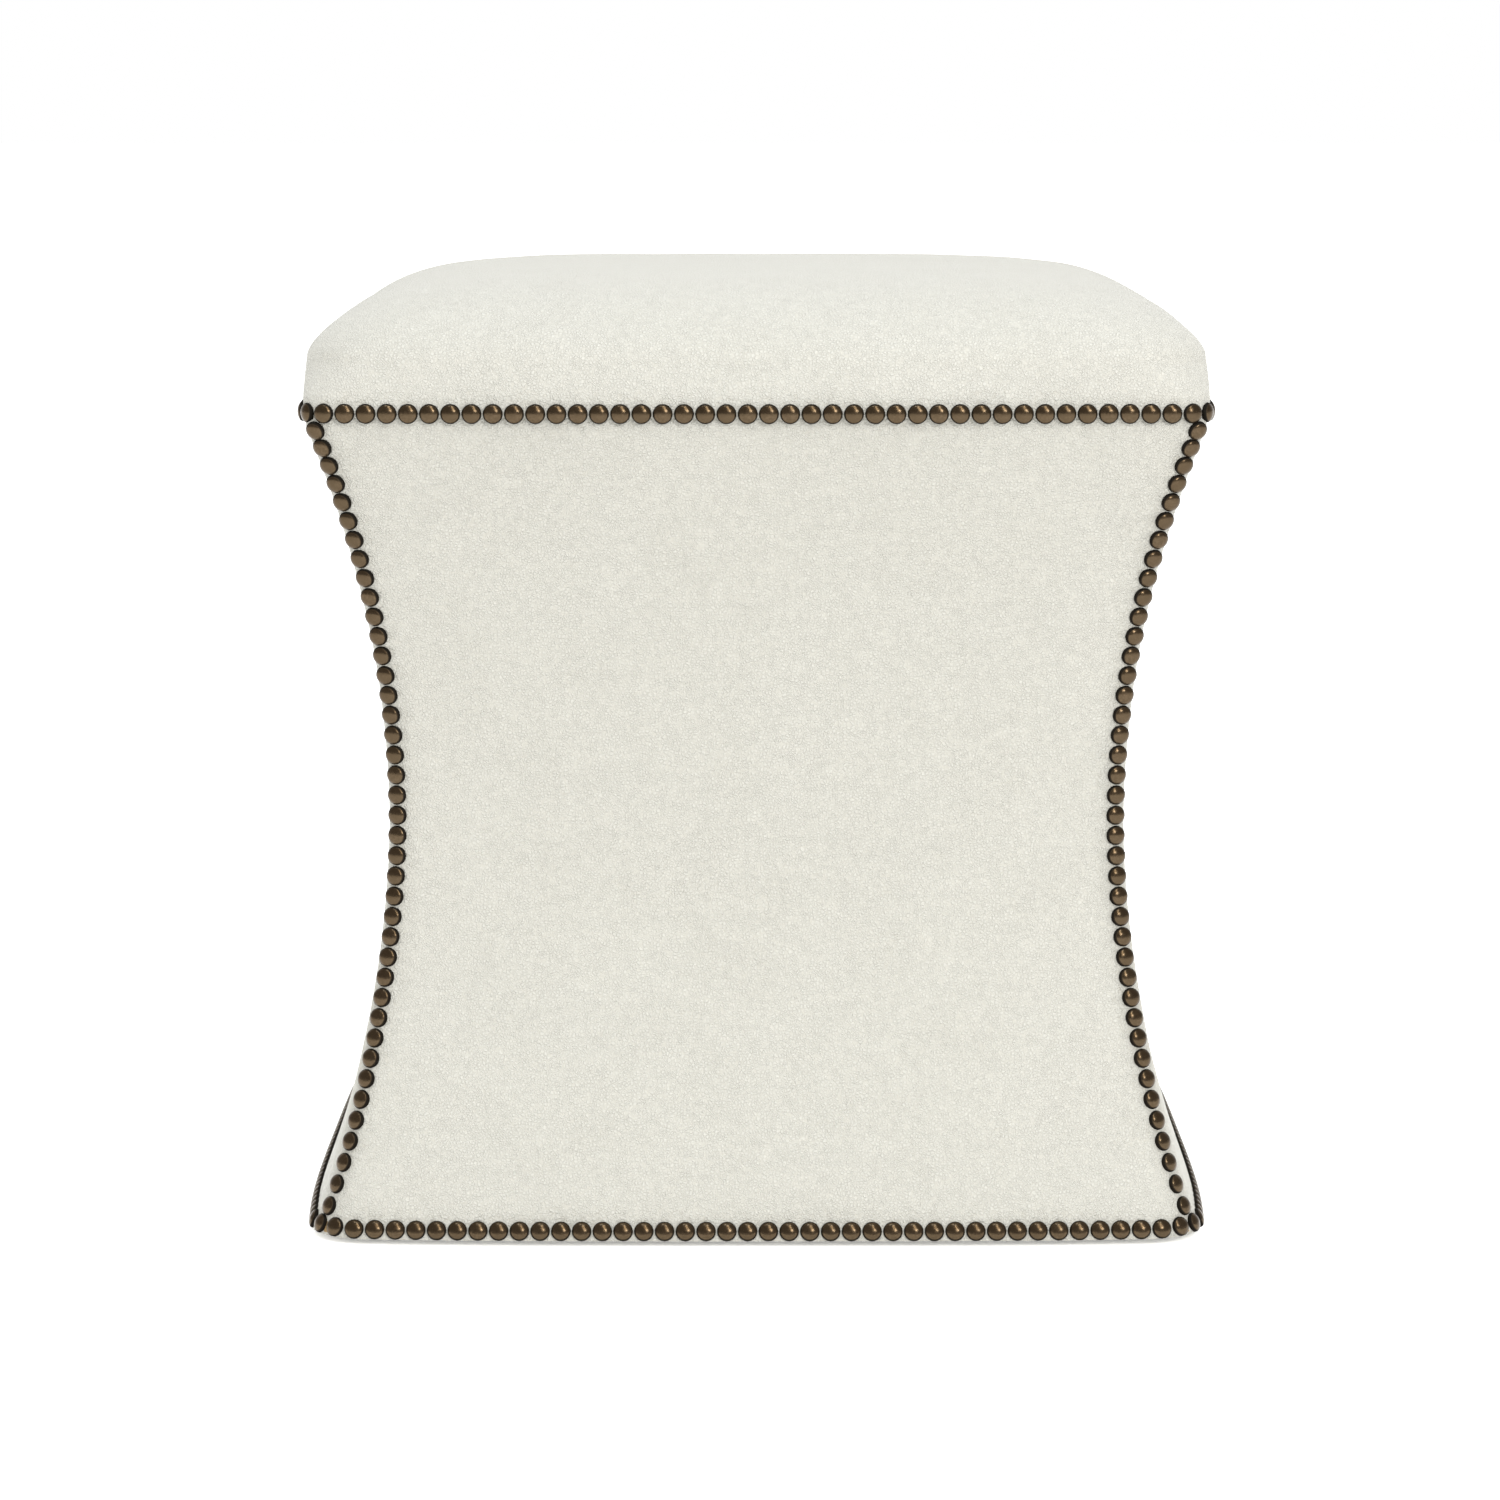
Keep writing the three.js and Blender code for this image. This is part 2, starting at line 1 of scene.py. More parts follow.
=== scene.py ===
"""The looks of an upholstered footstool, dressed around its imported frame.

Metres, +Z up, the front faces -Y, and the origin is on the floor under the middle. Sizes are written in
millimetres times MM. A level of the body or the seat is a square with a half width, a corner radius and a
bow of its sides. A spot on it is a corner, a turn round that corner, a run past it and a share of the side
that follows.
"""

import math
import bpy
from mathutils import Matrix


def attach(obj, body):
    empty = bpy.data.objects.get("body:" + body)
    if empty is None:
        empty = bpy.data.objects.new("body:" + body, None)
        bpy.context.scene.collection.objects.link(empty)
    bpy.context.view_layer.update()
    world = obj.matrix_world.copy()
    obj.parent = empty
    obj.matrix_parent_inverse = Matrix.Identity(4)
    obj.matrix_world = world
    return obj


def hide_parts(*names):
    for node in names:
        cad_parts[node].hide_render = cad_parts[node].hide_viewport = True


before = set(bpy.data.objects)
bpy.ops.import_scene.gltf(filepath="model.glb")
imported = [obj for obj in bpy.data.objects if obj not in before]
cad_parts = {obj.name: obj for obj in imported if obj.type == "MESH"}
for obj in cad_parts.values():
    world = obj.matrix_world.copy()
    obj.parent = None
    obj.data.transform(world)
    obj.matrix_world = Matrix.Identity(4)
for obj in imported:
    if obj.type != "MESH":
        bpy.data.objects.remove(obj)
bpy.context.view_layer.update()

from types import SimpleNamespace

import bpy
import numpy as np
from mathutils import Vector
from mathutils.kdtree import KDTree

MM = 0.001
QUARTER = math.pi / 2
SIDES = ["front", "right", "back", "left"]  # side k lies between corners k - 1 and k
CORNERS = ["front_right", "back_right", "back_left", "front_left"]

# Body
BASE_Z = 2.5 * MM
WAIST_Z = 205 * MM
TOP_ROW_Z = 401.5 * MM
BOTTOM_ROW_Z = 7.6 * MM
STRAIGHT_Z = 396.5 * MM  # above this the sides go straight up
FRAME_TOP_Z = 407.5 * MM
FRAME_BOTTOM_Z = 4.6 * MM
TOP_HALF = 217.6 * MM  # at the top row
WAIST_HALF = 180.3 * MM
BASE_HALF = 221.9 * MM
FLARE_POWER = 1.95
CORNER_RADIUS_TOP = 7 * MM
CORNER_RADIUS_HEM = 13 * MM  # under the seat cover's hem
CORNER_RADIUS_WAIST = 7 * MM
CORNER_RADIUS_BASE = 24 * MM
CORNER_POWER = 3
BOW_SHARE = 0.0105  # the corners stand back from the sides' middles by this share of the half width
BASE_BOW_SHARE = 0.03
HEM_BOW_SHARE = 0.0155
BOW_POWER = 3.5
CORNER_LIFT = 0.5 * MM  # of the base at its corners
LIFT_POWER = 14
LIFT_REACH = 60 * MM

# Seat
SEAT_LEAN = 1.5 * MM  # how far the wall leans in on its way up
SEAT_WALL_Z = 425.5 * MM
SEAT_ROUND = 19.6 * MM  # height of the rounded edge under the crown
SEAT_ROUND_REACH = 54.8 * MM
SEAT_CROWN = 19.2 * MM
CROWN_POWER = 4.74
SEAT_CORNER_RADIUS = 40 * MM
TIGHTEN_SHARE = 0.5  # how far the corners tighten as the edge rounds in
DECK_Z = 407.8 * MM
FOAM_Z = 420.1 * MM

# Layers
LEATHER = 1.8 * MM
GAP = 0.3 * MM
HEM_DROP = 2 * MM  # the hem's edge stays behind the nail heads
TURN_UNDER = 15 * MM
FOLD_ROUND = 1.6 * MM
SEAM_CLEARANCE = 3 * MM  # from the corner's round, at least
PADDING = 8 * MM
PADDING_JOINT = 2 * MM
PADDING_WRAP = math.radians(60)  # how far a front or back pad goes round its corners
BATTING = 12 * MM
DUST_CLOTH = 0.8 * MM
DUST_SAG = 0.4 * MM
DUST_SAG_POWER = 4
SHARP_RADIUS = 1 * MM  # the least radius of a corner

# Nails
HEAD_DIAMETER = 9.5 * MM
HEAD_HEIGHT = 2.6 * MM
HEAD_SINK = 0.9 * MM
TOP_ROW_HEADS = 169
TOP_ROW_SHIFT = -4.2 * MM  # from the middle of the front to the nearest head
BOTTOM_ROW_HEADS = 167
BOTTOM_ROW_SHIFT = 5.9 * MM
COLUMN_HEADS = 40
COLUMN_TOP = 8.4 * MM  # under the top row
COLUMN_STEP = 9.9 * MM
COLUMN_TURN_TOP = math.radians(26)  # round the corner, from where the front or the back ends
COLUMN_TURN_WAIST = math.radians(23)
COLUMN_TURN_BASE = math.radians(55)
COLUMN_TURN_POWER = 2.3
COLUMN_LOOSE_FROM = 28  # from this head on, the steps widen
COLUMN_LOOSE_SHARE = 0.15
COLUMN_TIGHT_HEADS = 6  # up to this head, the steps are narrower
COLUMN_TIGHT_SHARE = 0.07

# Pull of the nails on the leather
PINCH = 0.3 * MM
PINCH_REACH = 3.5 * MM
PINCH_POWER = 1.2

# Unevenness of the padded leather, a sum of waves
UNEVEN = 0.22 * MM
WAVES = 14
WAVE_SHORTEST = 35 * MM
WAVE_LONGEST = 110 * MM
WAVE_SEED = 7

# Meshes
STEP = 2.5 * MM
COARSE_STEP = 14 * MM
SLOPE_STEP = 1 * MM  # over which a surface's slope is taken
CORNER_STEPS = 12
EDGE_STEPS = 24
INNER_EDGE_STEPS = 6
PAD_EDGE_STEPS = 8
ROWS_PER_INNER = 6  # of a panel's outer face, to each row of its inner face
TINY = 1e-12  # keeps a division by a length of nothing away
HEAD_SIDES = 20
HEAD_RINGS = 7


def mesh_object(name, points, faces, smooth=True):
    """A new object in the scene from points and faces."""
    mesh = bpy.data.meshes.new(name)
    mesh.from_pydata(points.tolist(), [], faces)
    mesh.validate()
    if smooth:
        mesh.shade_smooth()
    else:
        mesh.shade_flat()
    obj = bpy.data.objects.new(name, mesh)
    bpy.context.scene.collection.objects.link(obj)
    return obj


def give_attribute(obj, name, values):
    """A number at each point of a mesh, for its material to read."""
    attribute = obj.data.attributes.new(name, "FLOAT", "POINT")
    attribute.data.foreach_set("value", np.asarray(values, np.float32))


# Plans

def plan(half, radius, bow=BOW_SHARE):
    """One or more levels."""
    return SimpleNamespace(half=np.atleast_1d(half), radius=np.atleast_1d(radius), bow=np.atleast_1d(bow))


def body_plan(z):
    """The body at each of some heights."""
    z = np.atleast_1d(z)
    reach = np.minimum(z, STRAIGHT_Z) - WAIST_Z
    above = reach > 0
    share = np.abs(reach) / np.where(above, TOP_ROW_Z - WAIST_Z, WAIST_Z - BASE_Z)
    end_half = np.where(above, TOP_HALF, BASE_HALF)
    end_radius = np.where(above, CORNER_RADIUS_TOP, CORNER_RADIUS_BASE)
    end_bow = np.where(above, BOW_SHARE, BASE_BOW_SHARE)
    half = WAIST_HALF + (end_half - WAIST_HALF) * share**FLARE_POWER
    radius = CORNER_RADIUS_WAIST + (end_radius - CORNER_RADIUS_WAIST) * share**CORNER_POWER
    tucked = np.clip((z - STRAIGHT_Z) / (TOP_ROW_Z - STRAIGHT_Z), 0, 1)
    radius = radius + (CORNER_RADIUS_HEM - radius) * tucked
    bow = BOW_SHARE + (end_bow - BOW_SHARE) * share**CORNER_POWER
    return plan(half, radius, bow + (HEM_BOW_SHARE - bow) * tucked)


def inset(level, depth):
    """Levels drawn in by a depth."""
    return plan(level.half - depth, np.maximum(level.radius - depth, SHARP_RADIUS), level.bow)


def middle_of(level):
    """How far the middle of a corner's round is from the middle of the footstool, along each side."""
    return level.half - level.radius


def spots_of(*rows):
    """Spots from rows of corner, turn, run and share."""
    corner, turn, run, share = np.array(rows, float).T
    return SimpleNamespace(corner=corner.astype(int), turn=turn, run=run, share=share)


def points_on(level, spots):
    """A grid of points: a row for each level, a column for each spot."""
    middle = middle_of(level)[:, None]
    radius = level.radius[:, None]
    along = spots.run + spots.share * 2 * middle
    x = middle + radius * np.sin(spots.turn) + along * np.cos(spots.turn)
    y = -middle - radius * np.cos(spots.turn) + along * np.sin(spots.turn)
    cosine = np.array([1, 0, -1, 0])[spots.corner % 4]
    sine = np.array([0, 1, 0, -1])[spots.corner % 4]
    xy = np.stack([x * cosine - y * sine, x * sine + y * cosine], axis=-1)
    share = np.abs(xy) / level.half[:, None, None]
    return xy * (1 - level.bow[:, None, None] * share[..., ::-1] ** BOW_POWER)


def lift_at(xy, z, depth=0.0):
    """How far the base edge rises towards its corners."""
    corner_share = np.min(np.abs(xy), axis=-1) / BASE_HALF
    fade = np.clip(1 - (z - BASE_Z) / LIFT_REACH, 0, 1) * np.clip(1 - depth / PADDING, 0, 1)
    return CORNER_LIFT * corner_share**LIFT_POWER * fade


# Distances run anticlockwise round a plan from the middle of the front.

def side_and_corner(level):
    """The length of a side's straight and a corner's round."""
    return float(2 * middle_of(level)[0] + level.radius[0] * QUARTER)


def distance_of(level, corner, turn, run=0):
    """How far round the plan a spot is."""
    return float(middle_of(level)[0] + corner * side_and_corner(level) + turn * level.radius[0] + run)


def spot_at(level, distance):
    """The corner, turn and run of a distance. The run is below zero on the half side before a corner."""
    straight = float(2 * middle_of(level)[0])
    past = distance - straight / 2
    corner = math.floor(past / side_and_corner(level))
    rest = past - corner * side_and_corner(level)
    run = rest - float(level.radius[0]) * QUARTER
    if run <= 0:
        return corner, rest / float(level.radius[0]), 0
    if run <= straight / 2:
        return corner, QUARTER, run
    return corner + 1, 0, run - straight


# Nail rows

def seat_of_head(level_at, z, corner, turn, run=0):
    """Where a head sits: its middle, and the ways round, up and out of the surface."""
    spot = spots_of((corner, turn, run, 0))
    xy = points_on(level_at(z), spot)[0, 0]
    low_xy = points_on(level_at(z - SLOPE_STEP), spot)[0, 0]
    angle = turn + corner * QUARTER
    around = Vector((math.cos(angle), math.sin(angle), 0))
    slope = Vector((*(xy - low_xy), SLOPE_STEP))
    up = (slope - slope.dot(around) * around).normalized()
    return Vector((*xy, z + float(lift_at(xy, z)))), around, up, around.cross(up)


def row_seats(level_at, z, shift, heads):
    """Heads evenly all round a level."""
    level = level_at(z)
    spacing = 4 * side_and_corner(level) / heads
    return [seat_of_head(level_at, z, *spot_at(level, shift + k * spacing)) for k in range(heads)]


def column_turn(corner, z):
    """How far round its corner a column stands: nearer to the front or the back, but for its foot."""
    reach = (z - WAIST_Z) / (TOP_ROW_Z - WAIST_Z)
    end_turn = COLUMN_TURN_TOP if reach > 0 else COLUMN_TURN_BASE
    turn = COLUMN_TURN_WAIST + (end_turn - COLUMN_TURN_WAIST) * abs(reach) ** COLUMN_TURN_POWER
    return turn if corner % 2 == 0 else QUARTER - turn


def column_seats(corner):
    """Heads down a corner, one step apart along its slope, a little closer at the top and wider low down."""
    z = TOP_ROW_Z - COLUMN_TOP
    seats = []
    for k in range(COLUMN_HEADS):
        seat = seat_of_head(body_plan, z, corner, column_turn(corner, z))
        seats.append(seat)
        loose = max(0, k - COLUMN_LOOSE_FROM) / (COLUMN_HEADS - 1 - COLUMN_LOOSE_FROM)
        tight = max(0, 1 - k / COLUMN_TIGHT_HEADS)
        spread = 1 + COLUMN_LOOSE_SHARE * loose**2 - COLUMN_TIGHT_SHARE * tight**2
        z -= COLUMN_STEP * spread * seat[2].z
    return seats


def seam_spot(corner):
    """Two panels meet on a side, just past the corner and midway between two heads of the bottom row."""
    level = body_plan(BOTTOM_ROW_Z)
    onward = corner % 2 == 0
    clear = SEAM_CLEARANCE + GAP
    round_end = distance_of(level, corner, QUARTER if onward else 0)
    spacing = 4 * side_and_corner(level) / BOTTOM_ROW_HEADS
    number = (round_end + (clear if onward else -clear) - BOTTOM_ROW_SHIFT) / spacing
    between = math.ceil(number - 0.5) if onward else math.floor(number - 0.5)
    return spot_at(level, BOTTOM_ROW_SHIFT + (between + 0.5) * spacing)


HEM = inset(body_plan(FRAME_TOP_Z), -(GAP + LEATHER))
top_row = row_seats(lambda z: HEM, TOP_ROW_Z, TOP_ROW_SHIFT, TOP_ROW_HEADS)
bottom_row = row_seats(body_plan, BOTTOM_ROW_Z, BOTTOM_ROW_SHIFT, BOTTOM_ROW_HEADS)
columns = {corner: column_seats(index) for index, corner in enumerate(CORNERS)}
all_seats = top_row + bottom_row + [seat for seats in columns.values() for seat in seats]

nail_tree = KDTree(len(all_seats))
for number, seat in enumerate(all_seats):
    nail_tree.insert(seat[0], number)
nail_tree.balance()


# Leather surfaces

rng = np.random.default_rng(WAVE_SEED)
wave_ways = rng.normal(size=(WAVES, 3))
wave_ways /= np.linalg.norm(wave_ways, axis=1)[:, None]
wave_lengths = rng.uniform(WAVE_SHORTEST, WAVE_LONGEST, WAVES)
wave_phases = rng.uniform(0, 2 * math.pi, WAVES)


def unevenness(points):
    """A slow, soft unevenness of padded leather, about 1 at most."""
    phase = points @ wave_ways.T * (2 * math.pi / wave_lengths) + wave_phases
    return np.sin(phase).sum(axis=-1) / math.sqrt(WAVES)


def normals_of(grid):
    """The way out at each point of a grid whose rows go down and whose columns go round."""
    down = np.gradient(grid, axis=0)
    around = np.gradient(grid, axis=1)
    normals = np.cross(down, around)
    return normals / np.maximum(np.linalg.norm(normals, axis=-1, keepdims=True), TINY)


def nearness(grid):
    """How near each point is to a nail's head: 1 under it, falling to 0."""
    radius = HEAD_DIAMETER / 2
    flat = grid.reshape(-1, 3)
    distance = np.array([nail_tree.find(point)[2] for point in flat])
    near = np.exp(-((np.maximum(distance - radius, 0) / PINCH_REACH) ** PINCH_POWER))
    return near.reshape(grid.shape[:-1])


def pulled(grid, near):
    """The surface with the nails' pull and the padding's unevenness."""
    offset = (1 - near) * UNEVEN * unevenness(grid) - PINCH * near
    return grid + normals_of(grid) * offset[..., None]


def strip(upper, lower, columns, closed):
    """Quads between two rows of points, given by the numbers of the rows' first points."""
    faces = []
    for c in range(columns if closed else columns - 1):
        after = (c + 1) % columns
        faces.append((upper + c, lower + c, lower + after, upper + after))
    return faces


def grid_faces(rows, columns, closed, start=0):
    """Quads between the rows and columns of a grid whose rows go down and whose columns go round."""
    faces = []
    for r in range(rows - 1):
        faces += strip(start + r * columns, start + (r + 1) * columns, columns, closed)
    return faces


def at_heights(xy, heights):
    """A grid of points from their places in plan and their heights."""
    return np.concatenate([xy, np.broadcast_to(heights, xy.shape[:2])[..., None]], axis=-1)


def levels_down(high, low, step):
    """Heights from one level down to another, about a step apart."""
    return np.linspace(high, low, max(2, round(abs(high - low) / step) + 1))


def column_spots(start, end):
    """Spots round the body from one seam to the next, with the corners' turns between them."""
    first, last = start[0], end[0]
    rows = []

    def corner_rows(corner, low, high):
        steps = max(2, round(CORNER_STEPS * (high - low) / QUARTER))
        return [(corner, low + (high - low) * k / steps, 0, 0) for k in range(steps + 1)]

    if start[1] < QUARTER:
        if start[2] < 0:
            rows.append((first, 0, start[2], 0))
        rows += corner_rows(first, start[1], QUARTER)
    run = start[2] if start[1] == QUARTER else 0
    stop = -end[2] if end[2] < 0 else 0
    straight = 2 * float(middle_of(body_plan(BOTTOM_ROW_Z))[0])
    steps = round(straight / STEP)
    shares = [k / steps for k in range(1 if not run else 0, steps + 1 if stop else steps)]
    rows += [(last - 1, QUARTER, run * (1 - share) - stop * share, share) for share in shares]
    if not stop:
        rows += corner_rows(last, 0, end[1])
        if end[2] > 0:
            rows.append((last, QUARTER, end[2], 0))
    return spots_of(*rows)


def shifted(spot, by):
    """A spot moved along the side, whichever stretch it lies on."""
    level = body_plan(BOTTOM_ROW_Z)
    return spot_at(level, distance_of(level, *spot) + by)


def shell_between(outer, inner, closed):
    """Points and faces of a sheet: its outer face, its inner face, and the strips that join their borders.

    Both grids have the same columns, and the outer one's rows per inner row are a whole number.
    """
    rows, columns = outer.shape[:2]
    inner_rows = inner.shape[0]
    points = np.concatenate([outer.reshape(-1, 3), inner.reshape(-1, 3)])
    start = rows * columns
    faces = grid_faces(rows, columns, closed)
    faces += [face[::-1] for face in grid_faces(inner_rows, columns, closed, start)]
    faces += strip(start, 0, columns, closed)
    faces += strip((rows - 1) * columns, start + (inner_rows - 1) * columns, columns, closed)
    if not closed:
        per = (rows - 1) // (inner_rows - 1)
        for r in range(inner_rows - 1):
            left = [(r * per + k) * columns for k in range(per + 1)]
            right = [point + columns - 1 for point in left]
            upper = start + r * columns
            lower = upper + columns
            faces.append((upper, lower, *reversed(left)))
            faces.append((*right, lower + columns - 1, upper + columns - 1))
    return points, faces


def layer_grid(spots, depths, heights):
    """Points of a body surface: each row has a depth and a height."""
    heights, depths = np.asarray(heights), np.asarray(depths)
    xy = points_on(inset(body_plan(heights), depths), spots)
    return at_heights(xy, heights[:, None] + lift_at(xy, heights[:, None], depths[:, None]))


def panel_profile():
    """Depths and heights of a panel's outer face: down the side, round the base edge and along the fold."""
    inner_count = round((FRAME_TOP_Z - BASE_Z) / STEP / ROWS_PER_INNER)
    heights = list(np.linspace(FRAME_TOP_Z, BASE_Z + FOLD_ROUND, inner_count * ROWS_PER_INNER + 1))
    depths = [0.0] * len(heights)
    for k in range(1, ROWS_PER_INNER + 1):
        angle = QUARTER * k / ROWS_PER_INNER
        heights.append(BASE_Z + FOLD_ROUND * (1 - math.sin(angle)))
        depths.append(FOLD_ROUND * (1 - math.cos(angle)))
    for k in range(1, ROWS_PER_INNER + 1):
        heights.append(BASE_Z)
        depths.append(FOLD_ROUND + (TURN_UNDER - FOLD_ROUND) * k / ROWS_PER_INNER)
    return np.array(depths), np.array(heights)


def panel(side):
    """A leather panel between two seams, pinned by the nails."""
    spots = column_spots(shifted(seam_spot(side - 1), GAP / 2), shifted(seam_spot(side), -GAP / 2))
    depths, heights = panel_profile()
    outer = layer_grid(spots, depths, heights)
    near = nearness(outer)
    outer = pulled(outer, near)
    inner_depths = np.maximum(depths[::ROWS_PER_INNER], LEATHER)
    inner_heights = np.maximum(heights[::ROWS_PER_INNER], BASE_Z + LEATHER)
    inner_depths[-1] = TURN_UNDER
    inner = layer_grid(spots, inner_depths, inner_heights)
    points, faces = shell_between(outer, inner, closed=False)
    piece = mesh_object(f"leather_panel_{SIDES[side]}", points, faces)
    give_attribute(piece, "near", np.concatenate([near.ravel(), np.zeros(inner[..., 0].size)]))
    return piece


def padding(side):
    """A thin foam pad behind a panel, butted against its neighbours at the corners."""
    turns = [PADDING_WRAP if corner % 2 == 0 else QUARTER - PADDING_WRAP for corner in (side - 1, side)]
    start = shifted((side - 1, turns[0], 0), PADDING_JOINT / 2)
    end = shifted((side, turns[1], 0), -PADDING_JOINT / 2)
    spots = column_spots(start, end)
    heights = levels_down(FRAME_TOP_Z, FRAME_BOTTOM_Z, COARSE_STEP)
    depth = LEATHER + GAP
    outer = layer_grid(spots, np.full(len(heights), depth), heights)
    inner = layer_grid(spots, np.full(len(heights), depth + PADDING), heights)
    return mesh_object(f"foam_padding_{SIDES[side]}", *shell_between(outer, inner, closed=False))


# Seat

SEAT_HALF = float(HEM.half[0]) - SEAT_LEAN


def ring_spots():
    """Spots all round the seat."""
    steps = round(2 * SEAT_HALF / STEP)
    rows = []
    for corner in range(4):
        rows += [(corner, QUARTER * k / CORNER_STEPS, 0, 0) for k in range(CORNER_STEPS)]
        rows += [(corner, QUARTER, 0, k / steps) for k in range(steps)]
    return spots_of(*rows)


def crown_at(xy):
    """The crown's rise: flat in the middle, and down to nothing along the seat's four sides."""
    fall = np.maximum(1 - (np.abs(xy) / SEAT_HALF) ** CROWN_POWER, 0)
    return SEAT_CROWN * fall[..., 0] * fall[..., 1]


def seat_plan(angle, depth):
    """The rounded edge, from angle 0 on top of the wall to a quarter turn at the crown."""
    drawn_in = SEAT_ROUND_REACH * (1 - np.cos(angle))
    upright = depth * np.cos(angle)
    radius = SEAT_CORNER_RADIUS - drawn_in * TIGHTEN_SHARE - upright
    return plan(SEAT_HALF - drawn_in - upright, np.maximum(radius, SHARP_RADIUS))


def wall_plan(z, depth):
    """The seat's wall at each of some heights, between the hem and the rounded edge."""
    share = (np.asarray(z) - DECK_Z) / (SEAT_WALL_Z - DECK_Z)
    low, high = inset(HEM, depth), seat_plan(0, depth)
    half, radius, bow = [
        start + (end - start) * share
        for start, end in ((low.half, high.half), (low.radius, high.radius), (low.bow, high.bow))
    ]
    return plan(half, np.maximum(radius, SHARP_RADIUS), bow)


def seat_rows(spots, depth, step, edge_steps, bottom):
    """The seat's form, drawn in by a depth, from the crown's middle down to a level."""
    flat = seat_plan(QUARTER, depth)
    count = round(float(flat.half[0]) / step)
    shares = np.arange(1, count) / count
    xy = points_on(plan(flat.half * shares, flat.radius * shares), spots)
    crown = at_heights(xy, SEAT_WALL_Z + SEAT_ROUND - depth + crown_at(xy))

    angles = QUARTER * (1 - np.arange(edge_steps) / edge_steps)
    xy = points_on(seat_plan(angles, depth), spots)
    edge = at_heights(xy, SEAT_WALL_Z + (SEAT_ROUND - depth) * np.sin(angles)[:, None] + crown_at(xy))

    heights = levels_down(SEAT_WALL_Z, bottom, step)
    wall = at_heights(points_on(wall_plan(heights, depth), spots), heights[:, None])
    return np.concatenate([crown, edge, wall])


def hem_rows(spots, depth, high, low, step):
    """Rows of the hem below a level, straight down."""
    heights = levels_down(high, low, step)[1:]
    xy = points_on(inset(HEM, depth), spots)
    return at_heights(np.repeat(xy, len(heights), axis=0), heights[:, None])


def cap(columns, peak, start):
    """Faces from a peak's point to the ring of a grid's row that starts at a number."""
    return [(peak, start + c, start + (c + 1) % columns) for c in range(columns)]


def shell_of_rings(outer, inner):
    """A shell between two forms of closed rings, each with a peak in the middle, open below."""
    peaks = [ring[0].mean(axis=0) for ring in (outer, inner)]
    points = np.concatenate([outer.reshape(-1, 3), inner.reshape(-1, 3), np.array(peaks)])
    (rows, columns), inner_rows = outer.shape[:2], inner.shape[0]
    start = rows * columns
    peak = start + inner_rows * columns
    faces = grid_faces(rows, columns, True) + cap(columns, peak, 0)
    inner_faces = grid_faces(inner_rows, columns, True, start) + cap(columns, peak + 1, start)
    faces += [face[::-1] for face in inner_faces]
    faces += strip((rows - 1) * columns, start + (inner_rows - 1) * columns, columns, True)
    return points, faces


def seat_cover():
    """One piece of leather, crowned, with its hem nailed down."""
    spots = ring_spots()
    hem_end = TOP_ROW_Z - HEM_DROP
    outer = np.concatenate([
        seat_rows(spots, 0, STEP, EDGE_STEPS, DECK_Z),
        hem_rows(spots, 0, DECK_Z, hem_end, STEP),
    ])
    near = nearness(outer)
    outer = pulled(outer, near)
    inner = np.concatenate([
        seat_rows(spots, LEATHER, COARSE_STEP, INNER_EDGE_STEPS, DECK_Z),
        hem_rows(spots, LEATHER, DECK_Z, hem_end, COARSE_STEP),
    ])
    points, faces = shell_of_rings(outer, inner)
    piece = mesh_object("leather_seat_cover", points, faces)
    give_attribute(piece, "near", np.concatenate([near.ravel(), np.zeros(len(points) - near.size)]))
    return piece


def seat_batting():
    """Wadding over the seat's foam and deck."""
    spots = ring_spots()
    depth = LEATHER + GAP
    outer, inner = [
        seat_rows(spots, layer, COARSE_STEP, PAD_EDGE_STEPS, DECK_Z) for layer in (depth, depth + BATTING)
    ]
    return mesh_object("wadding_seat", *shell_of_rings(outer, inner))


def seat_foam():
    """The crowned foam on the deck."""
    spots = ring_spots()
    depth = LEATHER + GAP + BATTING + GAP
    grid = seat_rows(spots, depth, COARSE_STEP, PAD_EDGE_STEPS, FOAM_Z)
    rows, columns = grid.shape[:2]
    peaks = np.array([grid[0].mean(axis=0), grid[-1].mean(axis=0)])
    points = np.concatenate([grid.reshape(-1, 3), peaks])
    below = cap(columns, len(points) - 1, (rows - 1) * columns)
    faces = grid_faces(rows, columns, True) + cap(columns, len(points) - 2, 0)
    return mesh_object("foam_seat", points, faces + [face[::-1] for face in below])


# Dust cover

DUST_SIZE = 2 * float(body_plan(BASE_Z + LEATHER).half[0] - TURN_UNDER - GAP)


def dust_cover():
    """A thin cloth stapled under the frame, hanging a hair's breadth between its edges."""
    steps = round(DUST_SIZE / COARSE_STEP)
    line = np.linspace(-DUST_SIZE / 2, DUST_SIZE / 2, steps + 1)
    xy = np.stack(np.meshgrid(line, line), axis=-1)
    hang = DUST_SAG * np.prod(1 - (2 * xy / DUST_SIZE) ** DUST_SAG_POWER, axis=-1)
    top = FRAME_BOTTOM_Z - GAP - hang
    lower, upper = at_heights(xy, top - DUST_CLOTH), at_heights(xy, top)
    return mesh_object("dust_cloth", *shell_between(lower, upper, closed=False))


# Nail heads

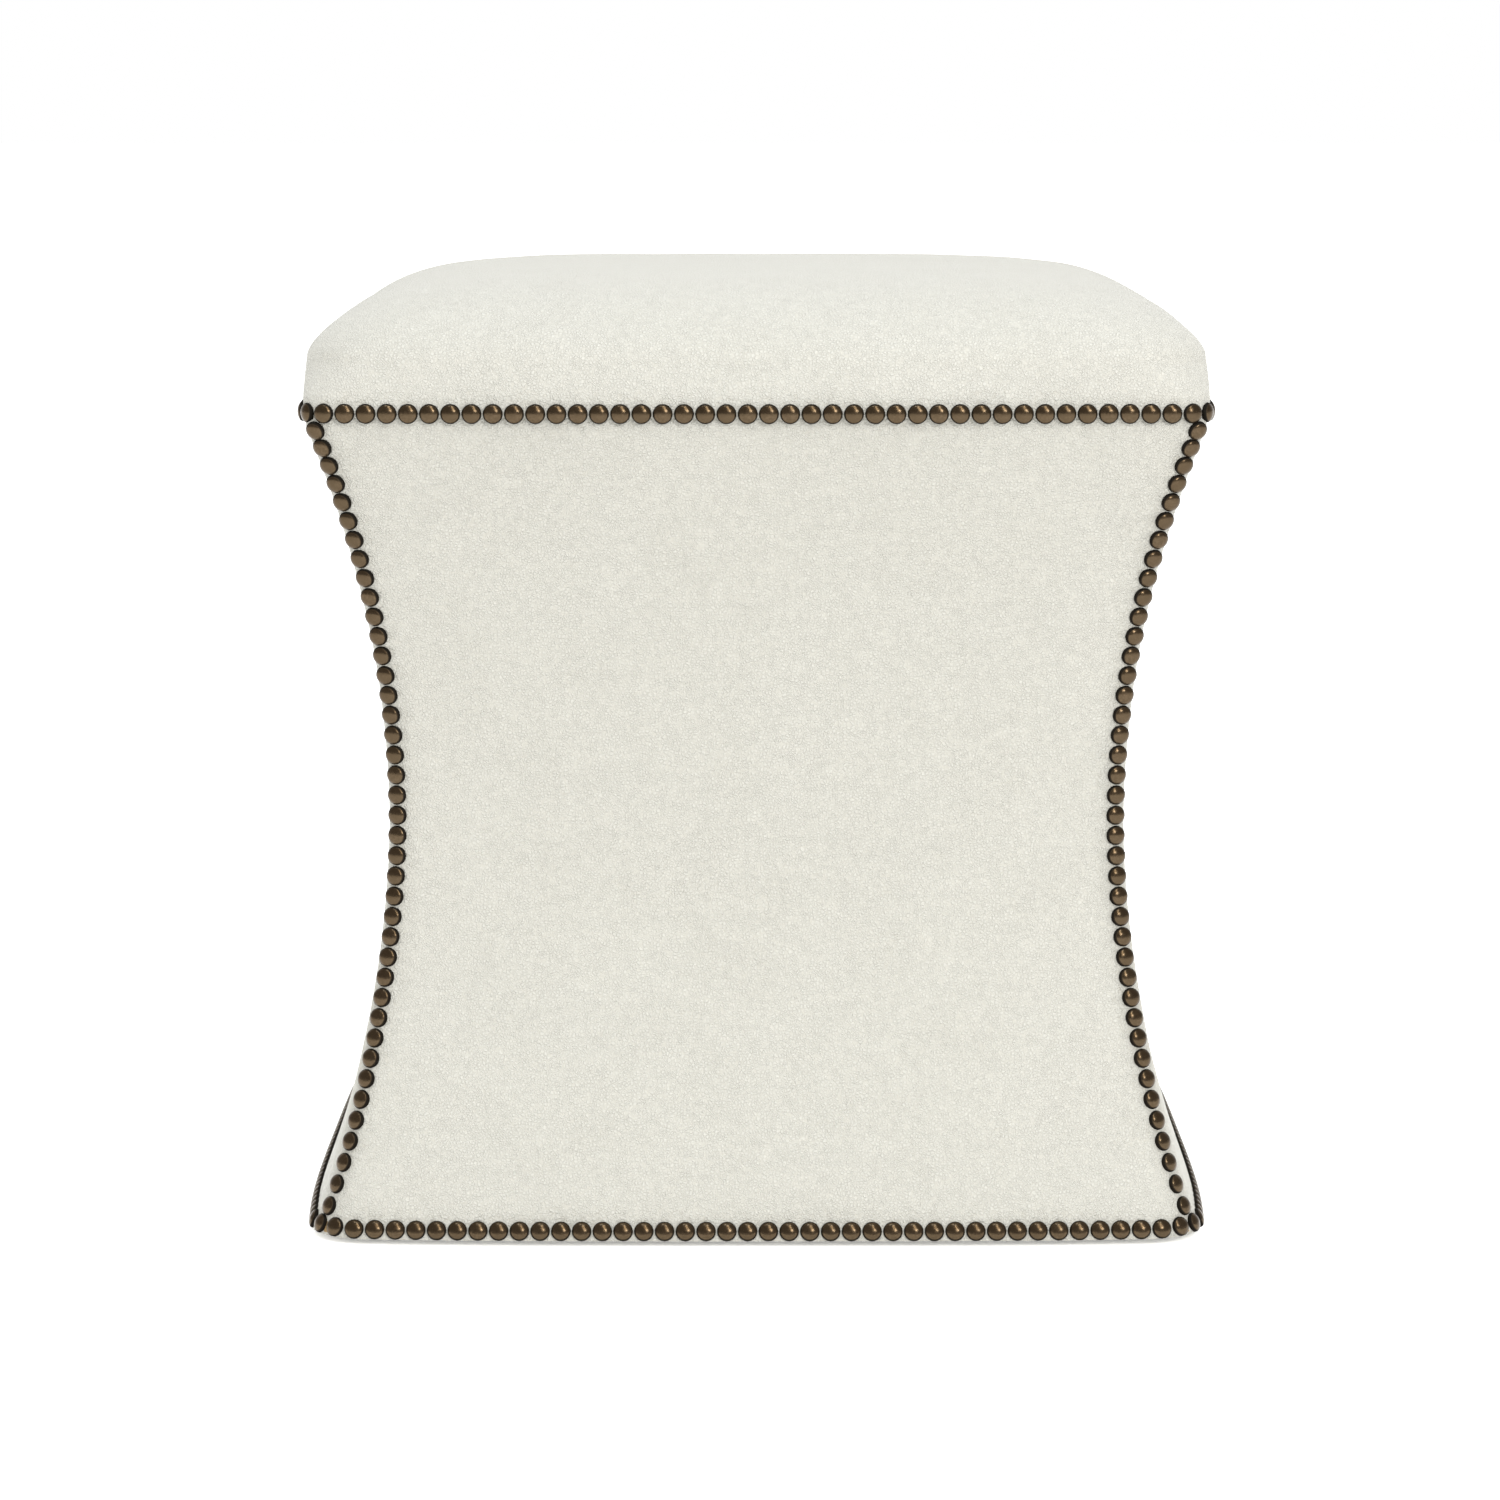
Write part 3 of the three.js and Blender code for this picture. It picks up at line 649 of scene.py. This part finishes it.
def head_template():
    """A domed head: points in its own round, up and out, how near each is to the rim, and faces."""
    radius = HEAD_DIAMETER / 2
    rings = [(radius, -HEAD_SINK)]
    for k in range(HEAD_RINGS):
        angle = QUARTER * k / HEAD_RINGS
        rings.append((radius * math.cos(angle), HEAD_HEIGHT * math.sin(angle)))
    points, rims = [], []
    for ring_radius, height in rings:
        for side in range(HEAD_SIDES):
            angle = 2 * math.pi * side / HEAD_SIDES
            points.append((ring_radius * math.cos(angle), ring_radius * math.sin(angle), height))
            rims.append(ring_radius / radius)
    points.append((0, 0, HEAD_HEIGHT))
    rims.append(0)
    faces = [tuple(range(HEAD_SIDES))[::-1]]
    for ring in range(len(rings) - 1):
        faces += strip((ring + 1) * HEAD_SIDES, ring * HEAD_SIDES, HEAD_SIDES, True)
    faces += cap(HEAD_SIDES, len(points) - 1, (len(rings) - 1) * HEAD_SIDES)
    return np.array(points), np.array(rims), faces


def nail_heads(name, seats):
    """The heads of a row or a column, as one piece, each with a tone of its own."""
    points, rims, faces = head_template()
    frames = np.array([[around, up, out] for _, around, up, out in seats])
    middles = np.array([middle for middle, *_ in seats])
    placed = np.einsum("pi,hij->hpj", points, frames) + middles[:, None, :]
    all_faces = []
    for head in range(len(seats)):
        all_faces += [tuple(index + head * len(points) for index in face) for face in faces]
    piece = mesh_object(name, placed.reshape(-1, 3), all_faces)
    give_attribute(piece, "rim", np.tile(rims, len(seats)))
    tones = np.random.default_rng(len(seats) + len(name)).uniform(size=len(seats))
    give_attribute(piece, "tone", np.repeat(tones, len(points)))
    return piece


# Materials

class Nodes:
    """Short hands for building the nodes of a material or a world."""

    def __init__(self, owner):
        owner.use_nodes = True
        self.owner = owner
        self.tree = owner.node_tree

    def feed(self, socket, value):
        """Links an output to an input, or sets the input's number or colour."""
        if isinstance(value, bpy.types.NodeSocket):
            self.tree.links.new(value, socket)
        else:
            socket.default_value = value

    def add(self, kind, inputs=(), out=0, **settings):
        """An output of a new node, whose inputs are fed by name or number."""
        node = self.tree.nodes.new(kind)
        for name, value in settings.items():
            setattr(node, name, value)
        for name, value in dict(inputs).items():
            self.feed(node.inputs[name], value)
        return node.outputs[out]

    def math(self, operation, first, second, clamp=False):
        return self.add("ShaderNodeMath", {0: first, 1: second}, operation=operation, use_clamp=clamp)

    def plus(self, first, second, clamp=False):
        return self.math("ADD", first, second, clamp)

    def times(self, first, second):
        return self.math("MULTIPLY", first, second)

    def mix(self, share, first, second):
        return self.add("ShaderNodeMix", {0: share, 6: first, 7: second}, out=2, data_type="RGBA")

    def place(self, scale=(1, 1, 1)):
        """The object's own coordinates."""
        where = self.add("ShaderNodeTexCoord", out="Object")
        return self.add("ShaderNodeMapping", {"Vector": where, "Scale": scale})

    def bent(self, where, size, reach):
        """A place moved a little by a slow noise, so that what is drawn there runs in soft lines."""
        noise = self.add("ShaderNodeTexNoise", {"Vector": where, "Scale": 1 / size}, out="Color")
        moved = self.add("ShaderNodeVectorMath", {0: noise, "Scale": reach}, operation="SCALE")
        return self.add("ShaderNodeVectorMath", {0: where, 1: moved}, operation="ADD")

    def noise(self, where, size, detail=3, roughness=0.5):
        """A noise whose features are about this size."""
        inputs = {"Vector": where, "Scale": 1 / size, "Detail": detail, "Roughness": roughness}
        return self.add("ShaderNodeTexNoise", inputs)

    def cell_edges(self, where, size):
        """How far it is to the nearest edge between cells of about this size, in cells."""
        inputs = {"Vector": where, "Scale": 1 / size}
        return self.add("ShaderNodeTexVoronoi", inputs, feature="DISTANCE_TO_EDGE")

    def ramp(self, value, start, end):
        """0 up to the start, 1 past the end and straight between, whichever of them is higher."""
        return self.add("ShaderNodeMapRange", {"Value": value, "From Min": start, "From Max": end})

    def attribute(self, name):
        return self.add("ShaderNodeAttribute", out="Fac", attribute_name=name)

    def bump(self, height, depth):
        return self.add("ShaderNodeBump", {"Height": height, "Distance": depth, "Strength": 1})

    def finish(self, inputs):
        """The material, with its shader's inputs fed."""
        shader = self.tree.nodes["Principled BSDF"]
        for name, value in inputs.items():
            self.feed(shader.inputs[name], value)
        return self.owner

    def surface(self, shader):
        """The material or the world, with another shader on its output."""
        output = next(node for node in self.tree.nodes if node.type.startswith("OUTPUT"))
        self.feed(output.inputs["Surface"], shader)
        return self.owner


def new_material(name):
    return Nodes(bpy.data.materials.new(name))


# Leather: colours, sizes of its patterns, where they start and end, and their shares in relief and colour;
# the darker colour is painted shade in the pebbles' grooves and the wrinkles' folds, with a real random
# mottle
LEATHER_COLOR = (0.835, 0.81, 0.73, 1)
# the darker colour, of painted shade in grooves and folds and of a real random mottle
LEATHER_COLOR_SHADE_AND_MOTTLE = (0.72, 0.68, 0.585, 1)
LEATHER_ROUGHNESS = 0.42
LEATHER_ROUGHNESS_SPREAD = 0.12
LEATHER_SHEEN = 0.12
GRAIN_DEPTH = 0.36 * MM
PEBBLE_SIZE = 1.5 * MM
BEND_SIZE = 9 * MM  # of the noise that bends the pebbles' outlines
BEND_REACH = 2.2 * MM
FINE_SIZE = 0.8 * MM
WRINKLE_SIZE = 2.6 * MM
PATCH_SIZE = 28 * MM  # of the patches that are wrinkled without a nail's pull
MOTTLE_SIZE = 30 * MM
GROOVE_END = 0.32  # from the pebble's edge, in pebbles
# painted shade in the pebbles' grooves reaches this far from their edges, in pebbles
CAVITY_SHADE_START = 0.16
# painted shade in the wrinkles' folds is full where the wrinkles sink to this level
FOLD_SHADE_END = -0.12
PATCH_START = 0.45
PATCH_END = 0.68
PULL_POWER = 0.85
PATCH_SHARE = 0.4
FINE_SHARE = 0.5
WRINKLE_STRENGTH = 6
# shares of painted shade in the grooves and folds, and of the real mottle, in the darker colour
CAVITY_SHADE_SHARE = 0.45
FOLD_SHADE_SHARE = 0.35
MOTTLE_SHARE = 0.12


def leather_material():
    """Off-white leather: fine pebbles, and small wrinkles in patches and where the nails pull, with painted
    shade in the grooves and folds and a random mottle.
    """
    nodes = new_material("pebbled_leather")
    where = nodes.place()
    bent = nodes.bent(where, BEND_SIZE, BEND_REACH)
    pebbles = nodes.cell_edges(bent, PEBBLE_SIZE)
    fine = nodes.noise(where, FINE_SIZE, roughness=0.6)
    patches = nodes.ramp(nodes.noise(where, PATCH_SIZE), PATCH_START, PATCH_END)
    pull = nodes.math("POWER", nodes.attribute("near"), PULL_POWER)
    wrinkled = nodes.plus(nodes.times(patches, PATCH_SHARE), pull, clamp=True)
    waves = nodes.noise(bent, WRINKLE_SIZE, detail=4, roughness=0.6)
    wrinkles = nodes.times(nodes.math("SUBTRACT", waves, 0.5), wrinkled)
    height = nodes.plus(nodes.ramp(pebbles, 0, GROOVE_END), nodes.times(fine, FINE_SHARE))
    height = nodes.plus(height, nodes.times(wrinkles, WRINKLE_STRENGTH))
    # painted shade in the pebbles' grooves
    painted_cavity_shade = nodes.times(nodes.ramp(pebbles, CAVITY_SHADE_START, 0), CAVITY_SHADE_SHARE)
    # painted shade in the wrinkles' folds, mostly near the nails and in patches
    painted_fold_shade = nodes.times(nodes.ramp(wrinkles, 0, FOLD_SHADE_END), FOLD_SHADE_SHARE)
    mottle = nodes.times(nodes.noise(where, MOTTLE_SIZE), MOTTLE_SHARE)
    # painted shade in grooves and folds, plus a real random mottle of tone
    shade_and_mottle = nodes.plus(nodes.plus(painted_cavity_shade, painted_fold_shade, clamp=True), mottle, clamp=True)
    return nodes.finish({
        "Base Color": nodes.mix(shade_and_mottle, LEATHER_COLOR, LEATHER_COLOR_SHADE_AND_MOTTLE),
        "Roughness": nodes.plus(nodes.times(fine, LEATHER_ROUGHNESS_SPREAD), LEATHER_ROUGHNESS),
        "Normal": nodes.bump(height, GRAIN_DEPTH),
        "Sheen Weight": LEATHER_SHEEN,
    })


# Nail heads: colours, the mottle's size and depth, where the worn spots and the rim start and end; the rim's
# dark colour is painted shade
NAIL_COLOR = (0.077, 0.054, 0.032, 1)
# painted shade: the near black of the heads' rims
NAIL_COLOR_RIM_SHADE = (0.012, 0.009, 0.006, 1)
NAIL_COLOR_WORN = (0.105, 0.074, 0.045, 1)
NAIL_SPECULAR = 0.1
NAIL_ROUGHNESS = 0.17
NAIL_ROUGHNESS_SPREAD = 0.12
NAIL_ROUGHNESS_RIM = 0.6  # more than the rest
NAIL_MOTTLE_SIZE = 1.3 * MM
NAIL_MOTTLE_DEPTH = 0.06 * MM
WORN_START = 0.42
WORN_END = 0.68
RIM_START = 0.84
RIM_END = 0.94


def nail_material():
    """Antique bronze: mottled, worn paler on some heads, and dark and dull at the rim, its dark being
    painted shade.
    """
    nodes = new_material("antique_bronze")
    # painted shade round each head's rim, which is also dull and not metallic
    rim = nodes.ramp(nodes.attribute("rim"), RIM_START, RIM_END)
    mottle = nodes.noise(nodes.place(), NAIL_MOTTLE_SIZE, detail=4, roughness=0.65)
    worn = nodes.times(nodes.ramp(mottle, WORN_START, WORN_END), nodes.attribute("tone"))
    color = nodes.mix(rim, nodes.mix(worn, NAIL_COLOR, NAIL_COLOR_WORN), NAIL_COLOR_RIM_SHADE)
    uneven = nodes.plus(nodes.times(mottle, NAIL_ROUGHNESS_SPREAD), nodes.times(rim, NAIL_ROUGHNESS_RIM))
    return nodes.finish({
        "Base Color": color,
        "Roughness": nodes.plus(uneven, NAIL_ROUGHNESS),
        "Metallic": nodes.math("SUBTRACT", 1, rim),
        "Normal": nodes.bump(mottle, NAIL_MOTTLE_DEPTH),
        "Specular IOR Level": NAIL_SPECULAR,
    })


# A wood's colour, its grain's darker colour and its grain's size
SAWN_TIMBER = ((0.55, 0.36, 0.17, 1), (0.42, 0.26, 0.11, 1), 6 * MM)
PLYWOOD = ((0.62, 0.44, 0.24, 1), (0.5, 0.33, 0.16, 1), 9 * MM)
WOOD_ROUGHNESS = 0.75
WOOD_DEPTH = 0.3 * MM
GRAIN_STRETCH = (1, 1, 0.12)  # along the height
WOOD_GRAIN_START = 0.35
WOOD_GRAIN_END = 0.65


def wood_material(name, color, dark, size):
    """Sawn wood with its grain along the piece's height."""
    nodes = new_material(name)
    grain = nodes.noise(nodes.place(GRAIN_STRETCH), size, detail=5, roughness=0.6)
    return nodes.finish({
        "Base Color": nodes.mix(nodes.ramp(grain, WOOD_GRAIN_START, WOOD_GRAIN_END), color, dark),
        "Roughness": WOOD_ROUGHNESS,
        "Normal": nodes.bump(grain, WOOD_DEPTH),
    })


# A quiet surface's colour and roughness, and its grain's size and depth
FOAM = ((0.78, 0.68, 0.36, 1), 0.95, 1.2 * MM, 0.4 * MM)
WADDING = ((0.86, 0.86, 0.83, 1), 1, 2.5 * MM, 1 * MM)
CLOTH = ((0.012, 0.012, 0.013, 1), 1, 0.6 * MM, 0.2 * MM)
NYLON = ((0.02, 0.018, 0.017, 1), 0.45, 2 * MM, 0.02 * MM)
SHADE_SHARE = 0.8  # of the colour, where the grain is darkest


def quiet_material(name, color, roughness, grain_size, grain_depth):
    """A quiet surface with a fine grain."""
    nodes = new_material(name)
    grain = nodes.noise(nodes.place(), grain_size, detail=4, roughness=0.6)
    darker = [channel * SHADE_SHARE for channel in color[:3]] + [1]
    return nodes.finish({
        "Base Color": nodes.mix(grain, color, darker),
        "Roughness": roughness,
        "Normal": nodes.bump(grain, grain_depth),
    })


# Making

def dress(piece, material, slot, *nodes):
    """Gives a piece its material. The slot, its place in the frame's table, is not used."""
    piece.data.materials.append(material)
    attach(piece, "root")
    if nodes:
        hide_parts(*nodes)


def dress_node(name, material):
    """Gives a CAD node a better material."""
    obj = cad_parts[name]
    if not obj.material_slots:
        obj.data.materials.append(material)
    for slot in obj.material_slots:
        slot.material = material


leather = leather_material()
bronze = nail_material()
timber = wood_material("sawn_timber", *SAWN_TIMBER)
plywood = wood_material("plywood", *PLYWOOD)
foam = quiet_material("foam", *FOAM)
wadding = quiet_material("wadding", *WADDING)
cloth = quiet_material("dust_cloth", *CLOTH)
nylon = quiet_material("nylon", *NYLON)

for index, side in enumerate(SIDES):
    piece = panel(index)
    dress(piece, leather, "leather", f"panel_{side}")
    pad = padding(index)
    dress(pad, foam, "foam", f"padding_{side}")
cover = seat_cover()
dress(cover, leather, "leather", "seat_cover")
batting = seat_batting()
dress(batting, wadding, "batting", "seat_batting")
core = seat_foam()
dress(core, foam, "foam", "seat_foam")
under = dust_cover()
dress(under, cloth, "dust_cloth", "dust_cover")

dress(nail_heads("nails_seat", top_row), bronze, "nail_brass")
dress(nail_heads("nails_base", bottom_row), bronze, "nail_brass")
for corner, seats in columns.items():
    dress(nail_heads(f"nails_corner_{corner}", seats), bronze, "nail_brass")

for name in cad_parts:
    if name.startswith(("corner_post", "bottom_rail", "top_rail", "rib", "bottom_corner", "top_corner")):
        dress_node(name, timber)
    elif name.startswith(("backing_board", "seat_deck")):
        dress_node(name, plywood)
    elif name.startswith("glide"):
        dress_node(name, nylon)


# Camera

IMAGE_SIZE = 1500
LENS_PIXELS = 4770  # the focal length, in pixels of the photograph
AXIS_PIXEL = 756.5  # where the footstool's middle stands across the photograph
SENSOR = 36
CAMERA_PLACE = (0, -2462 * MM, 566.8 * MM)
CAMERA_PITCH = math.radians(8.24)

camera_data = bpy.data.cameras.new("camera")
camera_data.sensor_width = SENSOR
camera_data.lens = LENS_PIXELS / IMAGE_SIZE * SENSOR
camera_data.shift_x = (IMAGE_SIZE / 2 - AXIS_PIXEL) / IMAGE_SIZE
camera = bpy.data.objects.new("camera", camera_data)
camera.location = CAMERA_PLACE
camera.rotation_euler = (QUARTER - CAMERA_PITCH, 0, 0)
bpy.context.scene.collection.objects.link(camera)
bpy.context.scene.camera = camera


# Studio

AMBIENT = (0.99, 0.998, 0.99, 1)
AMBIENT_STRENGTH = 0.85
SEEN_WORLD = (1, 1, 1, 1)
FLOOR_SIZE = 60
FLOOR_COLOR = (0.9, 0.9, 0.9, 1)
FLOOR_GLOW = 0.24

AIM = (0, 0, 0.3)
WHITE = (1, 1, 1)
COOL = (0.8, 0.9, 1.0)
# A lamp's place, its width and height, its power in watts and its colour
LAMPS = {
    "overhead_left": ((-0.45, -0.5, 2.4), (0.25, 0.3), 4.5, COOL),
    "overhead_right": ((0.3, -0.9, 2.4), (0.25, 0.5), 5, COOL),
    "overhead_back": ((0, 0.9, 2.2), (1.2, 0.8), 2.5, COOL),
    "right_softbox": ((1.0, -2.2, 1.3), (0.18, 0.4), 11.5, WHITE),
}

CARD_GLOW = (0.5, 0.48, 0.46, 1)
STRIP_GLOW = (8.5, 8, 7, 1)
# A card's glow and its corners
CARDS = {
    "studio_front_wall": (CARD_GLOW, [(-5, -4, 0.5), (5, -4, 0.5), (5, -4, 5), (-5, -4, 5)]),
    "studio_ceiling": (CARD_GLOW, [(-5, -4, 5), (5, -4, 5), (5, 3, 5), (-5, 3, 5)]),
    "studio_strip": (
        STRIP_GLOW, [(-0.03, -1.05, 2.24), (0.27, -0.93, 2.24), (0.88, -1.99, 0.99), (0.58, -2.11, 0.99)]
    ),
    "studio_left_wall": (CARD_GLOW, [(-5, -4, 0.5), (-5, 3, 0.5), (-5, 3, 5), (-5, -4, 5)]),
    "studio_right_wall": (CARD_GLOW, [(5, -4, 0.5), (5, 3, 0.5), (5, 3, 5), (5, -4, 5)]),
}


def seen_rays(nodes):
    """1 for camera, glossy and transmission rays, and 0 for the rest."""
    kinds = ("Is Camera Ray", "Is Glossy Ray", "Is Transmission Ray")
    camera_ray, glossy_ray, transmission_ray = [nodes.add("ShaderNodeLightPath", out=kind) for kind in kinds]
    return nodes.math("MAXIMUM", nodes.math("MAXIMUM", camera_ray, glossy_ray), transmission_ray)


def studio_world():
    """Even soft light from all round, seen as plain white."""
    nodes = Nodes(bpy.data.worlds.new("studio"))
    light = nodes.add("ShaderNodeBackground", {"Color": AMBIENT, "Strength": AMBIENT_STRENGTH})
    seen = nodes.add("ShaderNodeBackground", {"Color": SEEN_WORLD})
    mix = nodes.add("ShaderNodeMixShader", {0: seen_rays(nodes), 1: light, 2: seen})
    bpy.context.scene.world = nodes.surface(mix)


def studio_plane(name, corners, material):
    """A flat surface of the studio, which isn't part of the footstool."""
    plane = mesh_object(name, np.array(corners, float), [(0, 1, 2, 3)], smooth=False)
    plane.data.materials.append(material)
    return plane


def studio_floor():
    """A white floor that keeps the object's shadow. It is seen twice as light as it is, and with a glow."""
    nodes = new_material("white_floor")
    paper = nodes.add("ShaderNodeBsdfDiffuse", {"Color": FLOOR_COLOR})
    doubled = nodes.add("ShaderNodeAddShader", {0: paper, 1: paper})
    glow = nodes.add("ShaderNodeEmission", {"Strength": FLOOR_GLOW})
    seen = nodes.add("ShaderNodeAddShader", {0: doubled, 1: glow})
    mix = nodes.add("ShaderNodeMixShader", {0: seen_rays(nodes), 1: paper, 2: seen})
    half = FLOOR_SIZE / 2
    corners = [(-half, -half, 0), (half, -half, 0), (half, half, 0), (-half, half, 0)]
    studio_plane("studio_floor", corners, nodes.surface(mix))


def lamp(name, place, size, power, color):
    """A rectangular soft lamp that points at the footstool."""
    data = bpy.data.lights.new(name, "AREA")
    data.shape = "RECTANGLE"
    data.size, data.size_y = size
    data.energy = power
    data.color = color
    obj = bpy.data.objects.new(name, data)
    obj.location = place
    obj.rotation_euler = (Vector(AIM) - Vector(place)).to_track_quat("-Z", "Y").to_euler()
    bpy.context.scene.collection.objects.link(obj)


def studio_card(name, glow, corners):
    """A glowing surface that is only seen mirrored."""
    nodes = new_material(name)
    card = studio_plane(name, corners, nodes.surface(nodes.add("ShaderNodeEmission", {"Color": glow})))
    card.visible_camera = False
    card.visible_diffuse = False
    card.visible_shadow = False
    card.visible_transmission = False


studio_world()
studio_floor()
for name, settings in LAMPS.items():
    lamp(name, *settings)
for name, settings in CARDS.items():
    studio_card(name, *settings)

bpy.context.scene.view_settings.view_transform = "Standard"
